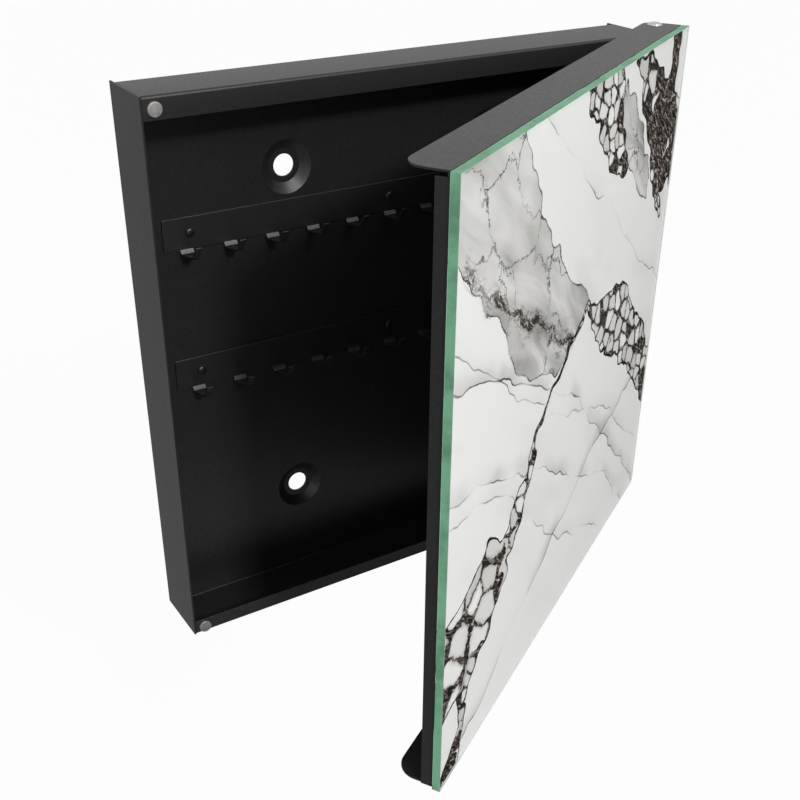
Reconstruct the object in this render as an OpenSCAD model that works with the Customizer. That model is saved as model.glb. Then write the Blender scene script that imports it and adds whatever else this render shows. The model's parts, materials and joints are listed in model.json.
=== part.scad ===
// Wall key box: a shallow sheet-steel casing with two rows of key hooks, and a
// glass-fronted door that swings on two vertical pins beside its right wall.
// Millimetres. +X is to the right seen from the front, +Y goes into the wall, +Z is up.
// The origin is the middle of the four wall holes, on the wall plane.

/* [Casing] */
// Width over the two side plates
casing_w = 298; // [240:1:400]
// Height over the top and bottom panels
casing_h = 296; // [260:1:400]
// Depth from the wall to the face of the front flanges
casing_d = 37; // [34:0.5:70]
// Thickness of the casing's steel sheet
casing_sheet = 1; // [0.8:0.1:1.5]
// Inside radius of the casing's bends
bend_in_r = 0.5; // [0.3:0.1:1.5]
// Gap between the wall and the back panel
back_gap = 3.5; // [2:0.5:6]
// Height of the front flange that hangs from the top panel
upper_flange_h = 11; // [10:0.5:20]
// Height of the front flange that stands on the bottom panel
lower_flange_h = 8.5; // [8.5:0.5:20]

/* [Wall holes] */
// Distance between the left and right holes
hole_spacing_x = 126; // [90:1:180]
// Distance between the upper and lower holes
hole_spacing_z = 190; // [180:1:210]
// Diameter of each hole
hole_d = 11.5; // [5:0.5:14]
// Diameter of the flat floor of the dimple round each hole
dimple_floor_d = 18; // [16:0.5:22]
// Diameter of the dimple's rim on the back panel
dimple_rim_d = 28; // [26:0.5:32]
// How far the casing's middle hangs below the middle of the holes
casing_drop = 1.75; // [0:0.25:6]

/* [Hook rails] */
// Length of each rail
rail_l = 262; // [255:1:275]
// Height of each rail
rail_h = 16.5; // [12:0.5:22]
// Thickness of the rail's sheet
rail_sheet = 1; // [0.8:0.1:1.5]
// Sideways place of the rails' middle
rail_x = -2; // [-6:0.5:6]
// Middle of the upper rail above the casing's middle
upper_rail_z = 72; // [60:0.5:76]
// Middle of the lower rail above the casing's middle
lower_rail_z = -4; // [-40:0.5:10]
// Number of hooks on a rail, odd so that one is in the middle
hooks = 11; // [3:2:15]
// Distance from the middle of an end hook to the end of its rail
hook_in = 12; // [8:0.5:20]
// Width of a hook where it leaves the rail
hook_w = 7.2; // [5:0.1:10]
// Width of a hook at its tip
hook_tip_w = 3.4; // [2:0.1:5]
// How far the hook's trough lies below the rail
hook_drop = 2.5; // [2:0.1:5]
// How far the trough stands in front of the rail
hook_trough = 1.2; // [1:0.1:5]
// Length of the hook's floor in front of its trough
hook_floor = 10.2; // [6:0.1:12]
// How far the floor climbs to its front end
hook_climb = 1.2; // [0.5:0.1:3]
// How far the tip stands in front of the rail
hook_reach = 15.5; // [13:0.1:18]
// How far the tip stands above the rail's lower edge
hook_rise = 5.6; // [4:0.1:8]

/* [Rail rivets] */
// Distance from an end rivet to the end of its rail
rivet_in = 14.5; // [8:0.5:40]
// Diameter of the rivet's shank
rivet_d = 3; // [2.4:0.1:4]
// Diameter of the rivet's domed head and of its upset tail
rivet_head_d = 4.8; // [4.5:0.1:7]
// Height of the domed head
rivet_head_h = 1; // [0.6:0.1:1.8]
// Height of the upset tail behind the back panel
rivet_tail_h = 0.9; // [0.5:0.1:1.5]

/* [Hinge] */
// How far the hinge axis lies outside the right side plate
hinge_out = 11.5; // [10:0.5:16]
// How far the hinge axis lies behind the front flanges
hinge_back = 11; // [10.5:0.5:14]
// Distance from the hinge axis to the door's hinge end and rear edge
hinge_r = 7.5; // [7:0.1:9]
// Radius of the casing's ear round the hinge axis
ear_r = 6.5; // [5.5:0.1:7]
// How far the ear's root runs behind the hinge axis
ear_root = 2; // [1:0.5:5]
// Diameter of the hinge pin
pin_d = 4; // [3:0.1:5]
// Diameter of the pin's domed head
pin_head_d = 8.5; // [7:0.1:10]
// Height of the pin's domed head
pin_head_h = 1.6; // [1:0.1:2.5]
// Length of the pin past its retainer
pin_tail = 0.8; // [0.4:0.1:2]
// Wall of the bush's sleeve
bush_wall = 1; // [0.6:0.1:1.4]
// Diameter of the bush's flange
bush_flange_d = 11; // [10:0.5:12]
// Thickness of the bush's flange
bush_flange_t = 0.8; // [0.6:0.1:1.5]
// Length of the bush's sleeve past the ear
bush_proud = 0.3; // [0.2:0.1:0.6]
// Diameter of the push-on retainer
retainer_d = 9; // [7.5:0.5:11]
// Thickness of the push-on retainer
retainer_t = 0.8; // [0.5:0.1:1.2]

/* [Door] */
// Angle of the door at rest, from closed
open_angle = 31.6; // [0:0.1:180]
// Thickness of the door's steel sheet
tray_sheet = 1; // [0.8:0.1:1.5]
// Depth of the free-edge lip behind the web
lip_depth = 5; // [3:0.5:8]
// Corner slit between the lip and the top flange
lip_relief = 1.5; // [1:0.1:3]
// How far the flanges end short of the lip's outer face
flange_short = 0.6; // [0.2:0.1:0.9]
// Corner radius at the free end of the flanges
free_corner_r = 11; // [5:0.5:14]
// Gap between the lip and the left side plate, door closed
side_gap = 1; // [0.8:0.1:3]
// Thickness of the glass
glass_t = 4; // [3:0.5:6]
// How far the glass stands past the lip at the free end
glass_over = 1; // [0.5:0.1:3]
// How far the glass hangs below the tray
glass_below = 0.5; // [0:0.1:3]
// Thickness of the printed film on the back of the glass
film_t = 0.15; // [0.1:0.05:0.4]
// Thickness of the double-sided tape behind the film
tape_t = 0.4; // [0.2:0.05:1]
// Width of the tape
tape_w = 18; // [8:1:30]
// Distance of the tape from the edges of the tray
tape_inset = 5; // [3:0.5:12]

/* [Magnets] */
// Diameter of the two disc magnets
magnet_d = 7; // [5:0.5:7.5]
// Thickness of the magnets
magnet_t = 1.2; // [1:0.1:2.5]
// Centre of the magnets in from the left side plate's outer face
magnet_in = 6.5; // [5.5:0.5:12]
// Distance from the upper magnet to the casing's top
upper_magnet_edge = 2.5; // [2:0.1:3]
// Distance from the lower magnet to the casing's bottom
lower_magnet_edge = 0.4; // [0.3:0.1:1]

/* [Clearances] */
// Radial running clearance of the pin in the bush
run_clear = 0.05; // [0.02:0.01:0.1]
// Radial clearance of fixed pieces in their holes
fit_clear = 0.02; // [0.01:0.01:0.05]
// End play of the door on its bushes
end_play = 0.2; // [0.2:0.05:0.5]
// Gap between the magnets and the door's web, door closed
magnet_gap = 0.3; // [0.3:0.1:1]
// Gap round the ear in the side plate's notch
notch_gap = 0.2; // [0.1:0.05:0.5]

/* [Hidden] */
$fn = 64;
// Length by which cutters run past what they cut
over = 1;

black_coat = "#2b2b2d";
rail_coat = "#262628";
nickel = "#a6a5a3";
zinc = "#c9cac9";
white_nylon = "#e4e2da";
glass_green = "#8fc4a4";
marble_white = "#e9e8e5";
tape_grey = "#8b8b88";

// Casing, with heights counted from the casing's middle
top_z = casing_h / 2;
inner_w = casing_w - 2 * casing_sheet;
bend_out_r = bend_in_r + casing_sheet;
panel_front_y = -back_gap - casing_sheet;
rail_front_y = panel_front_y - rail_sheet;
dimple_slope = (dimple_rim_d - dimple_floor_d) / (2 * back_gap);
hook_pitch = (rail_l - 2 * hook_in) / (hooks - 1);
rivet_pitch = rail_l / 2 - rivet_in;

// Hinge axis
hinge_x = casing_w / 2 + hinge_out;
hinge_y = -casing_d + hinge_back;
pin_r = pin_d / 2;
bush_bore_r = pin_r + run_clear;
bush_r = bush_bore_r + bush_wall;
door_gap = bush_flange_t + end_play;
bush_end_z = top_z - casing_sheet - bush_proud;
retainer_top_z = bush_end_z - end_play;
pin_end_z = retainer_top_z - retainer_t - pin_tail;

// Door, counted from the hinge axis with the door closed
tray_top_z = top_z + door_gap + tray_sheet;
web_back_y = -(hinge_back + magnet_t + magnet_gap);
web_front_y = web_back_y - tray_sheet;
film_back_y = web_front_y - tape_t;
glass_back_y = film_back_y - film_t;
lip_in_x = -(casing_w + hinge_out + side_gap);
lip_out_x = lip_in_x - tray_sheet;
glass_left_x = lip_out_x - glass_over;
glass_bottom_z = -tray_top_z - glass_below;
tape_left_x = lip_out_x + tape_inset;
tape_right_x = hinge_r - tape_inset;
tape_top_z = tray_top_z - tape_inset;

module in_casing() {
  translate([0, 0, -casing_drop]) children();
}

module in_door() {
  translate([hinge_x, hinge_y, -casing_drop]) rotate([0, 0, open_angle]) children();
}

// Box between two corners
module block(low, high) {
  translate(low) cube(high - low);
}

// Flat rectangle between two corners with round corners
module round_rect(low, high, r) {
  translate([low.x + r, low.y]) square([high.x - low.x - 2 * r, high.y - low.y]);
  translate([low.x, low.y + r]) square([high.x - low.x, high.y - low.y - 2 * r]);
  for (x = [low.x + r, high.x - r], y = [low.y + r, high.y - r])
    translate([x, y]) circle(r);
}

// Extrudes an outline drawn in Y and Z along X, centred on X = 0
module along_x(length) {
  translate([-length / 2, 0, 0]) rotate([90, 0, 90]) linear_extrude(length) children();
}

// Shallow dome standing on Z = 0
module dome(d, h) {
  ball_r = (d * d / 4 + h * h) / (2 * h);
  rotate_extrude() intersection() {
    translate([0, h - ball_r]) circle(ball_r);
    square([d / 2, h]);
  }
}

module at_wall_holes() {
  for (x = [-1, 1], z = [-1, 1])
    translate([x * hole_spacing_x / 2, 0, casing_drop + z * hole_spacing_z / 2])
      rotate([90, 0, 0]) children();
}

// Rivets stand in the middle and near both ends of a rail
module at_rivets(rail_z) {
  for (i = [-1, 0, 1])
    translate([rail_x + i * rivet_pitch, rail_front_y, rail_z])
      rotate([90, 0, 0]) children();
}

// Folded section of the back panel, top, bottom and front flanges
module channel_section() {
  difference() {
    round_rect([-casing_d, -top_z], [-back_gap, top_z], bend_out_r);
    round_rect([-casing_d + casing_sheet, -top_z + casing_sheet], [panel_front_y, top_z - casing_sheet],
               bend_in_r);
    translate([-casing_d - over, -top_z + lower_flange_h])
      square([casing_sheet + bend_in_r + over, casing_h - upper_flange_h - lower_flange_h]);
  }
}

// Ear of the top panel, through the side plate and round the hinge axis
module ear_outline() {
  root_x = inner_w / 2 - ear_r;
  plate_x = casing_w / 2;
  front_y = -casing_d + bend_out_r;
  polygon([
    [root_x, front_y], [plate_x, front_y], [hinge_x, hinge_y - ear_r],
    [hinge_x, hinge_y + ear_r], [plate_x, hinge_y + ear_root], [root_x, hinge_y + ear_root]
  ]);
  translate([hinge_x, hinge_y]) circle(ear_r);
}

module hinge_ear() {
  translate([0, 0, top_z - casing_sheet]) linear_extrude(casing_sheet) ear_outline();
}

module upper_and_lower() {
  children();
  mirror([0, 0, 1]) children();
}

module back_channel() {
  color(black_coat) in_casing() difference() {
    union() {
      along_x(inner_w) channel_section();
      upper_and_lower() hinge_ear();
      at_wall_holes()
        cylinder(d1 = dimple_floor_d, d2 = dimple_rim_d, h = back_gap);
    }
    at_wall_holes() {
      translate([0, 0, casing_sheet])
        cylinder(d1 = dimple_floor_d, d2 = dimple_rim_d + 2 * over * dimple_slope, h = back_gap + over);
      translate([0, 0, -over]) cylinder(d = hole_d, h = back_gap + casing_sheet + 2 * over);
    }
    for (rail_z = [upper_rail_z, lower_rail_z])
      at_rivets(rail_z)
        translate([0, 0, -rail_sheet - casing_sheet - over])
          cylinder(r = rivet_d / 2 + fit_clear, h = rail_sheet + casing_sheet + 2 * over);
    upper_and_lower()
      translate([hinge_x, hinge_y, top_z - casing_sheet - over])
        cylinder(r = bush_r + fit_clear, h = casing_sheet + 2 * over);
  }
}

module left_side_plate() {
  color(black_coat) in_casing()
    block([-casing_w / 2, -casing_d, -top_z], [-inner_w / 2, 0, top_z]);
}

module right_side_plate() {
  color(black_coat) in_casing() difference() {
    block([inner_w / 2, -casing_d, -top_z], [casing_w / 2, 0, top_z]);
    upper_and_lower()
      block([inner_w / 2 - over, -casing_d - over, top_z - casing_sheet],
            [casing_w / 2 + over, hinge_y + ear_root + notch_gap, top_z + over]);
  }
}

// Strip of sheet bent along a path of points, with round joints
module bent_strip(path, sheet) {
  for (i = [0 : len(path) - 2]) {
    leg = path[i + 1] - path[i];
    translate(path[i]) rotate(atan2(leg.y, leg.x)) translate([0, -sheet / 2]) square([norm(leg), sheet]);
  }
  for (p = path) translate(p) circle(sheet / 2);
}

// Hook bent out of the rail's lower edge: down to a trough, forward along a narrowing floor, then up to its tip
module hook(low_z) {
  rail_mid_y = rail_front_y + rail_sheet / 2;
  trough_y = rail_front_y - hook_trough;
  floor_y = trough_y - hook_floor;
  tip_y = rail_front_y - hook_reach;
  trough_z = low_z - hook_drop;
  difference() {
    along_x(hook_w)
      bent_strip([[rail_mid_y, low_z], [trough_y, trough_z], [floor_y, trough_z + hook_climb],
                  [tip_y, low_z + hook_rise]], rail_sheet);
    for (side = [-1, 1])
      translate([0, 0, trough_z - rail_sheet])
        linear_extrude(hook_drop + hook_rise + 2 * rail_sheet)
          polygon([
            [side * hook_w / 2, trough_y], [side * (hook_w / 2 + over), trough_y],
            [side * (hook_w / 2 + over), tip_y - rail_sheet], [side * hook_tip_w / 2, tip_y - rail_sheet],
            [side * hook_tip_w / 2, floor_y]
          ]);
  }
}

module hook_rail(rail_z) {
  color(rail_coat) in_casing() difference() {
    union() {
      block([rail_x - rail_l / 2, rail_front_y, rail_z - rail_h / 2],
            [rail_x + rail_l / 2, panel_front_y, rail_z + rail_h / 2]);
      for (i = [0 : hooks - 1])
        translate([rail_x + (i - (hooks - 1) / 2) * hook_pitch, 0, 0]) hook(rail_z - rail_h / 2);
    }
    at_rivets(rail_z)
      translate([0, 0, -rail_sheet - over])
        cylinder(r = rivet_d / 2 + fit_clear, h = rail_sheet + 2 * over);
  }
}

module upper_hook_rail() { hook_rail(upper_rail_z); }
module lower_hook_rail() { hook_rail(lower_rail_z); }

module rail_rivets(rail_z) {
  grip = rail_sheet + casing_sheet;
  color(black_coat) in_casing() at_rivets(rail_z) {
    dome(rivet_head_d, rivet_head_h);
    translate([0, 0, -grip]) cylinder(d = rivet_d, h = grip);
    translate([0, 0, -grip - rivet_tail_h]) cylinder(d = rivet_head_d, h = rivet_tail_h);
  }
}

module upper_rail_rivets() { rail_rivets(upper_rail_z); }
module lower_rail_rivets() { rail_rivets(lower_rail_z); }

module magnet(z) {
  color(nickel) in_casing()
    translate([-casing_w / 2 + magnet_in, -casing_d, z])
      rotate([90, 0, 0]) cylinder(d = magnet_d, h = magnet_t);
}

module upper_magnet() { magnet(top_z - upper_magnet_edge - magnet_d / 2); }
module lower_magnet() { magnet(-top_z + lower_magnet_edge + magnet_d / 2); }

// Flanged bush seated in the ear from outside
module hinge_bush() {
  difference() {
    union() {
      translate([0, 0, top_z]) cylinder(d = bush_flange_d, h = bush_flange_t);
      translate([0, 0, bush_end_z]) cylinder(r = bush_r, h = top_z + bush_flange_t - bush_end_z);
    }
    translate([0, 0, bush_end_z - over])
      cylinder(r = bush_bore_r, h = top_z + bush_flange_t - bush_end_z + 2 * over);
  }
}

// Riveted pin: its head lies on the door's flange and its shank runs through the bush
module hinge_pin() {
  translate([0, 0, tray_top_z]) dome(pin_head_d, pin_head_h);
  translate([0, 0, pin_end_z]) cylinder(r = pin_r, h = tray_top_z - pin_end_z);
}

module pin_retainer() {
  difference() {
    translate([0, 0, retainer_top_z - retainer_t]) cylinder(d = retainer_d, h = retainer_t);
    translate([0, 0, retainer_top_z - retainer_t - over])
      cylinder(r = pin_r + fit_clear, h = retainer_t + 2 * over);
  }
}

module upper_hinge_bush() {
  color(white_nylon) in_door() hinge_bush();
}

module lower_hinge_bush() {
  color(white_nylon) in_door() mirror([0, 0, 1]) hinge_bush();
}

module upper_hinge_pin() {
  color(zinc) in_door() hinge_pin();
}

module lower_hinge_pin() {
  color(zinc) in_door() mirror([0, 0, 1]) hinge_pin();
}

module upper_pin_retainer() {
  color(zinc) in_door() pin_retainer();
}

module lower_pin_retainer() {
  color(zinc) in_door() mirror([0, 0, 1]) pin_retainer();
}

// Outline of a door flange: round about the hinge pin, round at the free rear corner
module flange_outline() {
  end_x = lip_out_x + flange_short;
  corner = [end_x + free_corner_r, hinge_r - free_corner_r];
  translate([corner.x, web_front_y]) square([-corner.x, hinge_r - web_front_y]);
  translate([end_x, web_front_y]) square([corner.x - end_x, corner.y - web_front_y]);
  translate(corner) circle(free_corner_r);
  translate([-over, web_front_y]) square([hinge_r + over, -web_front_y]);
  circle(hinge_r);
}

module door_tray() {
  color(black_coat) in_door() difference() {
    union() {
      block([lip_out_x, web_front_y, -tray_top_z + tray_sheet],
            [hinge_r, web_back_y, tray_top_z - tray_sheet]);
      upper_and_lower()
        translate([0, 0, tray_top_z - tray_sheet]) linear_extrude(tray_sheet) flange_outline();
      block([lip_out_x, web_front_y, -tray_top_z],
            [lip_in_x, web_back_y + lip_depth, tray_top_z - tray_sheet - lip_relief]);
    }
    upper_and_lower()
      translate([0, 0, tray_top_z - tray_sheet - over])
        cylinder(r = pin_r + fit_clear, h = tray_sheet + 2 * over);
  }
}

module glass_panel() {
  color(glass_green) in_door()
    block([glass_left_x, glass_back_y - glass_t, glass_bottom_z], [hinge_r, glass_back_y, tray_top_z]);
}

module printed_film() {
  color(marble_white) in_door()
    block([glass_left_x, glass_back_y, glass_bottom_z], [hinge_r, film_back_y, tray_top_z]);
}

module tape(low_x, high_x, low_z, high_z) {
  color(tape_grey) in_door() block([low_x, film_back_y, low_z], [high_x, web_front_y, high_z]);
}

module left_glass_tape() {
  tape(tape_left_x, tape_left_x + tape_w, -tape_top_z, tape_top_z);
}

module right_glass_tape() {
  tape(tape_right_x - tape_w, tape_right_x, -tape_top_z, tape_top_z);
}

module upper_glass_tape() {
  tape(tape_left_x + tape_w, tape_right_x - tape_w, tape_top_z - tape_w, tape_top_z);
}

module lower_glass_tape() {
  tape(tape_left_x + tape_w, tape_right_x - tape_w, -tape_top_z, -tape_top_z + tape_w);
}

back_channel();
left_side_plate();
right_side_plate();
upper_hook_rail();
lower_hook_rail();
upper_rail_rivets();
lower_rail_rivets();
upper_magnet();
lower_magnet();
upper_hinge_bush();
lower_hinge_bush();
door_tray();
glass_panel();
printed_film();
left_glass_tape();
right_glass_tape();
upper_glass_tape();
lower_glass_tape();
upper_hinge_pin();
lower_hinge_pin();
upper_pin_retainer();
lower_pin_retainer();
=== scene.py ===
import json
import math

import bmesh
import bpy
import numpy as np
from mathutils import Matrix, Vector


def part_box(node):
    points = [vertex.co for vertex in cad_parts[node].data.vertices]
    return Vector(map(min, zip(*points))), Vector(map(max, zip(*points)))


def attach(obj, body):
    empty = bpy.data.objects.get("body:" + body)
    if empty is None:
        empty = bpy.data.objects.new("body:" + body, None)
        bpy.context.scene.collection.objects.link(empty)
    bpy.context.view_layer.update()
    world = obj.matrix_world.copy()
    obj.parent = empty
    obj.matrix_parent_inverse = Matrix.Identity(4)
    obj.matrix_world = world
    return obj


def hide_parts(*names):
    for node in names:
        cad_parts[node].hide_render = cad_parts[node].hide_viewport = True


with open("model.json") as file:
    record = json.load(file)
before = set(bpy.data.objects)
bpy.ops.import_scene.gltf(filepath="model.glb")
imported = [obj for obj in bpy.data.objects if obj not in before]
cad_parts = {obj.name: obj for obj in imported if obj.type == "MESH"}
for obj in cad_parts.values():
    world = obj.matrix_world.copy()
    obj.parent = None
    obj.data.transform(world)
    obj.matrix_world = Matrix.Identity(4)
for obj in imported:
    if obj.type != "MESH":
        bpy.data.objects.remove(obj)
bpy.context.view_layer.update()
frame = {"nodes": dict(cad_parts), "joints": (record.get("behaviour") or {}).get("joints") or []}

bl_info = {
    "name": "Wall key box",
    "version": (1, 0, 0),
    "blender": (4, 5, 0),
    "location": "View3D > Sidebar > Key Box",
    "description": "Dresses a sheet-steel wall key box with a marble-printed glass door",
    "category": "Add Mesh",
}

MM = 0.001
HINGE = Vector(frame["joints"][0]["pos_m"])
# The door is drawn this far open at rest.
OPEN_ANGLE = math.radians(-frame["joints"][0]["range_deg"][0])
DOOR_TURN = Matrix.Rotation(OPEN_ANGLE, 3, "Z")
DOOR_FRONT = DOOR_TURN @ Vector((0, -1, 0))


# Settings that a user would change


class KeyBoxSizes(bpy.types.PropertyGroup):
    edge_round: bpy.props.FloatProperty(
        name="Edge rounding", description="Width of the soft edge left on cut sheet by the coating",
        default=0.22 * MM, unit="LENGTH")
    hook_count: bpy.props.IntProperty(
        name="Hooks", description="Hooks on each rail", default=11, min=1)
    hook_in: bpy.props.FloatProperty(
        name="Hook inset", description="From the middle of an end hook to the end of its rail",
        default=12 * MM, unit="LENGTH")
    hook_width: bpy.props.FloatProperty(
        name="Hook width", description="Width of a hook where it leaves the rail",
        default=7.2 * MM, unit="LENGTH")
    hook_tip_width: bpy.props.FloatProperty(
        name="Hook tip width", description="Width of a hook at its tip",
        default=3.4 * MM, unit="LENGTH")
    hook_drop: bpy.props.FloatProperty(
        name="Hook drop", description="How far a hook's trough lies below its rail",
        default=2.5 * MM, unit="LENGTH")
    hook_trough: bpy.props.FloatProperty(
        name="Hook trough", description="How far a hook's trough stands in front of its rail",
        default=1.2 * MM, unit="LENGTH")
    hook_floor: bpy.props.FloatProperty(
        name="Hook floor", description="Length of a hook's floor in front of its trough",
        default=10.2 * MM, unit="LENGTH")
    hook_climb: bpy.props.FloatProperty(
        name="Hook climb", description="How far a hook's floor climbs to its front end",
        default=1.2 * MM, unit="LENGTH")
    hook_reach: bpy.props.FloatProperty(
        name="Hook reach", description="How far a hook's tip stands in front of its rail",
        default=15.5 * MM, unit="LENGTH")
    hook_rise: bpy.props.FloatProperty(
        name="Hook rise", description="How far a hook's tip stands above its rail's lower edge",
        default=5.6 * MM, unit="LENGTH")
    rivet_count: bpy.props.IntProperty(
        name="Rivets", description="Rivets on each rail", default=3, min=2)
    rivet_head: bpy.props.FloatProperty(
        name="Rivet head", description="Diameter of a rivet's domed head",
        default=4.8 * MM, unit="LENGTH")
    glass_arris: bpy.props.FloatProperty(
        name="Glass arris", description="Width of the ground edge of the glass",
        default=0.2 * MM, unit="LENGTH")


class KeyBoxColours(bpy.types.PropertyGroup):
    coat: bpy.props.StringProperty(
        name="Powder coat", description="Colour of the black powder coat", default="#19191a")
    rail: bpy.props.StringProperty(
        name="Rail coat", description="Colour of the hook rails", default="#0d0d0e")
    glass_edge: bpy.props.StringProperty(
        name="Glass edge", description="Colour seen in the ground edge of the glass", default="#76ae8c")
    marble: bpy.props.StringProperty(
        name="Marble", description="Ground colour of the marble print", default="#f0f0ee")
    vein: bpy.props.StringProperty(
        name="Vein", description="Colour of the marble's dark veins", default="#15110f")


class KeyBoxSettings(bpy.types.PropertyGroup):
    sizes: bpy.props.PointerProperty(
        type=KeyBoxSizes, name="Sizes", description="Sizes of the pieces")
    colours: bpy.props.PointerProperty(
        type=KeyBoxColours, name="Colours", description="Colours of the pieces")


# Small tools

# Points of a CAD mesh closer than this are one, and faces closer to one plane than this angle are joined.
MERGE_GAP = 0.002 * MM
FLAT_ANGLE = math.radians(0.4)
# Turned pieces show a sharp edge past this angle.
CREASE = math.radians(50)
# The kinds of node used most; a range takes a value, its low and high, and the low and high it gives.
RANGE, MATH = "ShaderNodeMapRange", "ShaderNodeMath"


def linear(colour):
    """An sRGB hex colour as linear RGBA."""
    channels = [int(colour[i:i + 2], 16) / 255 for i in (1, 3, 5)]
    return tuple(c / 12.92 if c <= 0.04045 else ((c + 0.055) / 1.055) ** 2.4 for c in channels) + (1.0,)


def add(tree, kind, inputs=(), **settings):
    """Adds a node with its settings, and with values or links on its inputs, which are given by name or in
    order, and gives its outputs."""
    made = tree.nodes.new(kind)
    for name, value in settings.items():
        setattr(made, name, value)
    for key, value in inputs.items() if isinstance(inputs, dict) else enumerate(inputs):
        if isinstance(value, bpy.types.NodeSocket):
            tree.links.new(value, made.inputs[key])
        else:
            made.inputs[key].default_value = value
    return made.outputs


def new_material(name):
    material = bpy.data.materials.new(name)
    material.use_nodes = True
    material.node_tree.nodes.clear()
    return material, material.node_tree


def new_mesh(name, made):
    """A mesh from a bmesh, which is freed."""
    mesh = bpy.data.meshes.new(name)
    made.to_mesh(mesh)
    made.free()
    return mesh


def new_object(name, data):
    obj = bpy.data.objects.new(name, data)
    bpy.context.scene.collection.objects.link(obj)
    return obj


def plain_mesh(obj):
    """The evaluated mesh of an object with its modifiers, which are removed with the object."""
    bpy.context.view_layer.update()
    graph = bpy.context.evaluated_depsgraph_get()
    mesh = bpy.data.meshes.new_from_object(obj.evaluated_get(graph), depsgraph=graph)
    bpy.data.objects.remove(obj)
    return mesh


def round_edges(mesh, width, segments=2, angle=27):
    """Rounds the edges sharper than an angle in degrees, with flat faces still shaded flat."""
    mesh.shade_smooth()
    mesh.set_sharp_from_angle(angle=math.radians(angle))
    obj = new_object("edge_helper", mesh)
    bevel = obj.modifiers.new("edges", "BEVEL")
    bevel.width = width
    bevel.segments = segments
    bevel.limit_method = "ANGLE"
    bevel.angle_limit = math.radians(angle)
    bevel.use_clamp_overlap = False
    bevel.harden_normals = True
    return plain_mesh(obj)


def cad_copy(node):
    """A clean copy of a CAD node's mesh, with its triangles joined into flat faces."""
    source = bmesh.new()
    source.from_mesh(frame["nodes"][node].data)
    bmesh.ops.remove_doubles(source, verts=source.verts, dist=MERGE_GAP)
    bmesh.ops.dissolve_limit(source, angle_limit=FLAT_ANGLE, verts=source.verts, edges=source.edges)
    mesh = new_mesh(node + "_sheet", source)
    if "custom_normal" in mesh.attributes:
        mesh.attributes.remove(mesh.attributes["custom_normal"])
    mesh.materials.clear()
    return mesh


def turned(name, profile, origin, axis, steps=64):
    """A turned piece: a closed profile of (radius, height) spun about an axis through an origin."""
    axis = Vector(axis).normalized()
    side = axis.orthogonal().normalized()
    across = axis.cross(side)
    made = bmesh.new()
    rings = []
    for radius, height in profile:
        centre = Vector(origin) + axis * height
        if radius == 0:
            rings.append([made.verts.new(centre)] * steps)
            continue
        ring = []
        for i in range(steps):
            turn = 2 * math.pi * i / steps
            ring.append(made.verts.new(centre + radius * (math.cos(turn) * side + math.sin(turn) * across)))
        rings.append(ring)
    for low, high in zip(rings, rings[1:] + rings[:1]):
        for i in range(steps):
            j = (i + 1) % steps
            corners = []
            for vert in (low[i], low[j], high[j], high[i]):
                if vert not in corners:
                    corners.append(vert)
            if len(corners) > 2:
                made.faces.new(corners)
    bmesh.ops.recalc_face_normals(made, faces=made.faces)
    mesh = new_mesh(name, made)
    mesh.shade_smooth()
    mesh.set_sharp_from_angle(angle=CREASE)
    return mesh


def finish_piece(name, mesh, body, slot, materials, *nodes):
    """Puts a finished mesh in the scene as a piece that rides on a body and stands for CAD nodes."""
    mesh.materials.clear()
    for material in materials:
        mesh.materials.append(material)
    obj = new_object(name, mesh)
    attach(obj, body)
    if nodes:
        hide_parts(*nodes)
    return obj


def door_point(along, out, height):
    """A point given from the hinge axis along the door, out of its front and in height, in metres."""
    return Vector((HINGE.x, HINGE.y, height)) + DOOR_TURN @ Vector((-along, -out, 0))


def door_span(node):
    """Lowest and highest place of a door node along the door, out of its front and in height."""
    back = Matrix.Rotation(-OPEN_ANGLE, 3, "Z")
    local = []
    for vert in frame["nodes"][node].data.vertices:
        place = back @ (vert.co - HINGE)
        local.append((-place.x, -place.y, vert.co.z))
    local = np.array(local)
    return local.min(0), local.max(0)


def box_mesh(name, corners):
    """A box from its eight corners, four below and four above in the same order."""
    made = bmesh.new()
    verts = [made.verts.new(corner) for corner in corners]
    for face in ((3, 2, 1, 0), (4, 5, 6, 7), (0, 1, 5, 4), (1, 2, 6, 5), (2, 3, 7, 6), (3, 0, 4, 7)):
        made.faces.new([verts[i] for i in face])
    bmesh.ops.recalc_face_normals(made, faces=made.faces)
    return new_mesh(name, made)


def row_tree():
    """Geometry Nodes that repeat the object's own mesh along a straight row."""
    tree = bpy.data.node_groups.get("copies_in_a_row")
    if tree:
        return tree
    tree = bpy.data.node_groups.new("copies_in_a_row", "GeometryNodeTree")
    for name, kind in (("Piece", "NodeSocketGeometry"), ("Count", "NodeSocketInt"),
                       ("Pitch", "NodeSocketFloat"), ("First", "NodeSocketVector"),
                       ("Finish", "NodeSocketMaterial")):
        tree.interface.new_socket(name, in_out="INPUT", socket_type=kind)
    tree.interface.new_socket("Row", in_out="OUTPUT", socket_type="NodeSocketGeometry")
    given = add(tree, "NodeGroupInput")
    step = add(tree, "ShaderNodeCombineXYZ", {"X": given["Pitch"]})[0]
    points = add(tree, "GeometryNodeMeshLine", {
        "Count": given["Count"], "Start Location": given["First"], "Offset": step}, mode="OFFSET")[0]
    copies = add(tree, "GeometryNodeInstanceOnPoints", {"Points": points, "Instance": given["Piece"]})[0]
    solid = add(tree, "GeometryNodeRealizeInstances", {"Geometry": copies})[0]
    coated = add(tree, "GeometryNodeSetMaterial", {"Geometry": solid, "Material": given["Finish"]})[0]
    add(tree, "NodeGroupOutput", (coated,))
    return tree


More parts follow.
